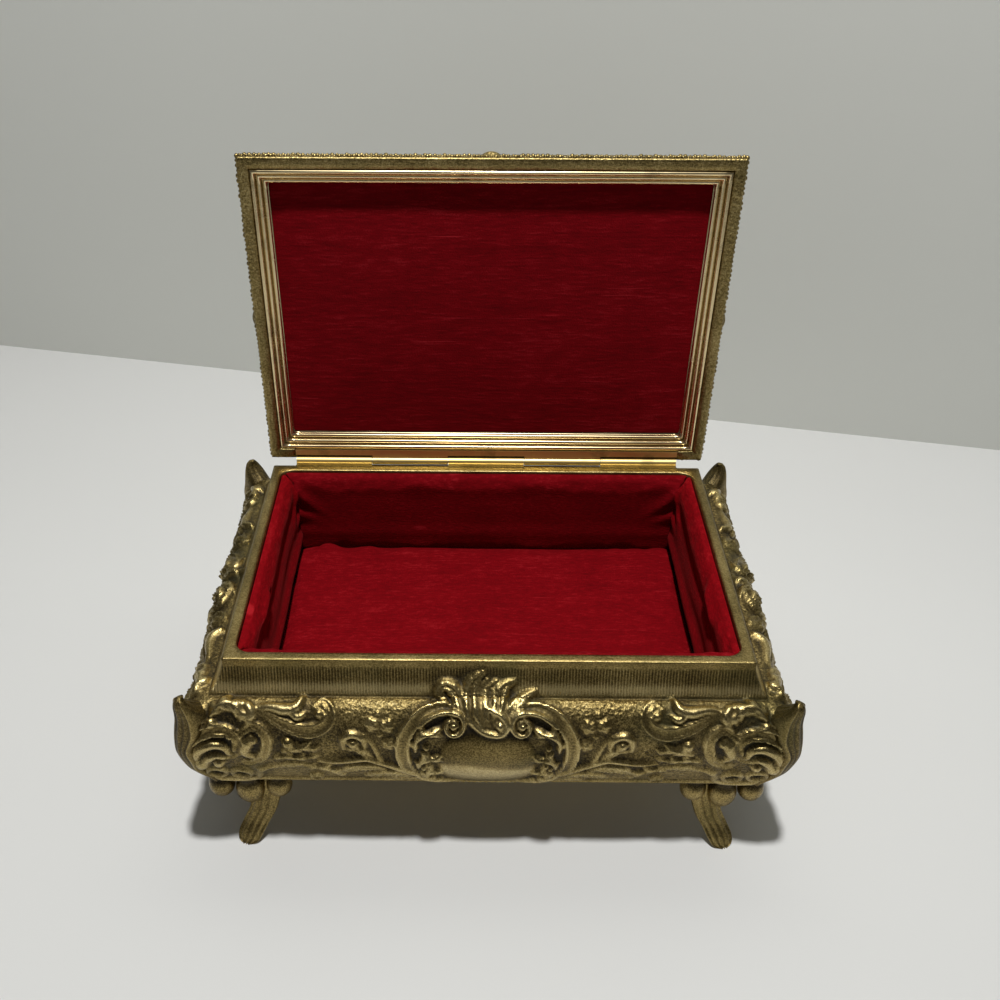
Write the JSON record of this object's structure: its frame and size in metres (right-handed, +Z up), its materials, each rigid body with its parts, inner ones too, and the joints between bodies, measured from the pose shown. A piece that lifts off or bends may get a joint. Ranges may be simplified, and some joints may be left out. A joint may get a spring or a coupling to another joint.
{
  "type": "keepsake box",
  "caption": "Footed casket for keepsakes: bombe cast-metal body on splayed legs, hinged domed lid standing open, padded velvet lining inside.",
  "frame": {"origin": "on the table plane under the soles, at the middle of the whole open box from left to right and from front to back", "axes": "+X to the box's right as seen from its front, +Y towards the hinge at the back, +Z up; the lid is drawn open, leaning back on its stop"},
  "size_m": [0.1786, 0.134, 0.1703],
  "materials": {
    "cast_gilt": "antiqued gilt casting, bright on the high spots and dark olive brown in the recesses",
    "lid_gilt": "antiqued gilt casting",
    "foot_gilt": "antiqued gilt casting, worn bright",
    "stamped_brass": "bright lacquered sheet brass",
    "hinge_brass": "satin brass strip",
    "steel": "plain steel",
    "velvet": "deep red cotton velvet with a short pile",
    "card": "grey pasteboard"
  },
  "bodies": {
    "base": {"body_shell": "cast_gilt", "base_plate": "stamped_brass", "foot_front_left": "foot_gilt", "foot_front_right": "foot_gilt", "foot_rear_left": "foot_gilt", "foot_rear_right": "foot_gilt", "foot_screws": "steel", "hinge_body_leaf": "hinge_brass", "hinge_body_rivets": "hinge_brass", "hinge_pin": "steel", "floor_card": "card", "floor_pad": "velvet", "front_card": "card", "rear_card": "card", "left_card": "card", "right_card": "card", "front_lining": "velvet", "rear_lining": "velvet", "left_lining": "velvet", "right_lining": "velvet"},
    "lid": {"lid_shell": "lid_gilt", "lid_inner_frame": "stamped_brass", "lid_card": "card", "lid_velvet": "velvet", "hinge_lid_leaf": "hinge_brass", "hinge_lid_rivets": "hinge_brass"}
  },
  "joints": [
    {"name": "lid_hinge", "type": "hinge", "parent": "base", "child": "lid", "pos_m": [0, 0.04723, 0.0689], "axis": [1, 0, 0], "range_deg": [0, 95]}
  ]
}
